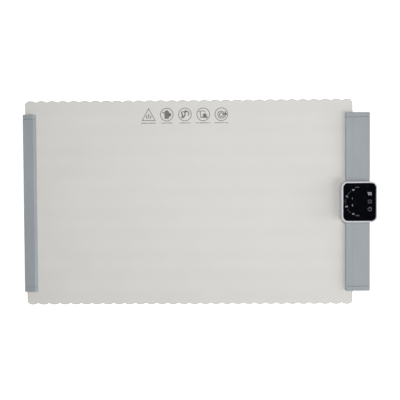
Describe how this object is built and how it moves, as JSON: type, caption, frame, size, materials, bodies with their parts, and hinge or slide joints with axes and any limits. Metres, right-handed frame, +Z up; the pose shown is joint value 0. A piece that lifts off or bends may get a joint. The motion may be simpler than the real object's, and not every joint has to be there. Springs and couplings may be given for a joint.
{
  "type": "roll-up food warming mat",
  "caption": "Flexible silicone warming mat with scalloped long edges, a clip bar on one end and a control bar with a touch control box on the other; it rolls up for storage.",
  "frame": {"origin": "on the table, under the middle of the whole object’s bounding box", "axes": "+X along the mat from the clip bar to the control box, +Y across the mat, +Z up"},
  "size_m": [0.6432, 0.376, 0.024],
  "materials": {
    "silicone": "matte, fine satin grain",
    "base_silicone": "matte, lightly ribbed for grip",
    "film": "carbon heating strips on a thin sheet",
    "bar_plastic": "fine moulded grain, grey",
    "box_plastic": "satin light grey",
    "black_glass": "gloss black toughened touch panel",
    "board": "solder-masked circuit board",
    "dark_plastic": "moulded black",
    "steel": "zinc plated",
    "brass": "plated contact pin",
    "lead_insulation": "silicone insulation",
    "ferrite_tape": "yellow winding tape"
  },
  "bodies": {
    "controller": {"base_skin_root": "base_silicone", "box_bezel": "box_plastic", "box_housing": "box_plastic", "clamp_strip": "steel", "control_bar_base": "bar_plastic", "control_bar_cap_front": "bar_plastic", "control_bar_cap_rear": "bar_plastic", "control_bar_cover": "bar_plastic", "control_bar_screw_1": "steel", "control_bar_screw_2": "steel", "control_bar_screw_3": "steel", "control_bar_screw_4": "steel", "display_board": "board", "film_lead_1": "lead_insulation", "film_lead_2": "lead_insulation", "heat_sensor": "dark_plastic", "heater_relay": "dark_plastic", "heating_film_root": "film", "inlet_pin_1": "brass", "inlet_pin_2": "brass", "inlet_socket": "dark_plastic", "power_board": "board", "supply_transformer": "ferrite_tape", "thermal_cutout": "dark_plastic", "top_skin_root": "silicone", "touch_glass": "black_glass", "touch_spring_1": "steel", "touch_spring_2": "steel", "touch_spring_3": "steel"},
    "mat_section_1": {"base_skin_1": "base_silicone", "heating_film_1": "film", "top_skin_1": "silicone"},
    "mat_section_2": {"base_skin_2": "base_silicone", "heating_film_2": "film", "top_skin_2": "silicone"},
    "mat_section_3": {"base_skin_3": "base_silicone", "heating_film_3": "film", "top_skin_3": "silicone"},
    "mat_section_4": {"base_skin_4": "base_silicone", "heating_film_4": "film", "top_skin_4": "silicone"},
    "mat_section_5": {"base_skin_5": "base_silicone", "heating_film_5": "film", "top_skin_5": "silicone"},
    "mat_section_6": {"base_skin_6": "base_silicone", "heating_film_6": "film", "top_skin_6": "silicone"},
    "mat_section_7": {"base_skin_7": "base_silicone", "heating_film_7": "film", "top_skin_7": "silicone"},
    "mat_section_8": {"base_skin_8": "base_silicone", "top_skin_8": "silicone", "clip_bar_base": "bar_plastic", "clip_bar_cap_front": "bar_plastic", "clip_bar_cap_rear": "bar_plastic", "clip_bar_cover": "bar_plastic", "clip_bar_screw_1": "steel", "clip_bar_screw_2": "steel", "clip_bar_screw_3": "steel"}
  },
  "joints": [
    {"name": "roll_1", "type": "hinge", "parent": "controller", "child": "mat_section_1", "pos_m": [0.15927, 0, 0.0048], "axis": [0, 1, 0], "range_deg": [0, 72]},
    {"name": "roll_2", "type": "hinge", "parent": "mat_section_1", "child": "mat_section_2", "pos_m": [0.08287, 0, 0.0048], "axis": [0, 1, 0], "range_deg": [0, 72]},
    {"name": "roll_3", "type": "hinge", "parent": "mat_section_2", "child": "mat_section_3", "pos_m": [0.01087, 0, 0.0048], "axis": [0, 1, 0], "range_deg": [0, 72]},
    {"name": "roll_4", "type": "hinge", "parent": "mat_section_3", "child": "mat_section_4", "pos_m": [-0.05673, 0, 0.0048], "axis": [0, 1, 0], "range_deg": [0, 72]},
    {"name": "roll_5", "type": "hinge", "parent": "mat_section_4", "child": "mat_section_5", "pos_m": [-0.11993, 0, 0.0048], "axis": [0, 1, 0], "range_deg": [0, 72]},
    {"name": "roll_6", "type": "hinge", "parent": "mat_section_5", "child": "mat_section_6", "pos_m": [-0.17873, 0, 0.0048], "axis": [0, 1, 0], "range_deg": [0, 72]},
    {"name": "roll_7", "type": "hinge", "parent": "mat_section_6", "child": "mat_section_7", "pos_m": [-0.23313, 0, 0.0048], "axis": [0, 1, 0], "range_deg": [0, 72]},
    {"name": "roll_8", "type": "hinge", "parent": "mat_section_7", "child": "mat_section_8", "pos_m": [-0.28313, 0, 0.0048], "axis": [0, 1, 0], "range_deg": [0, 72]}
  ]
}
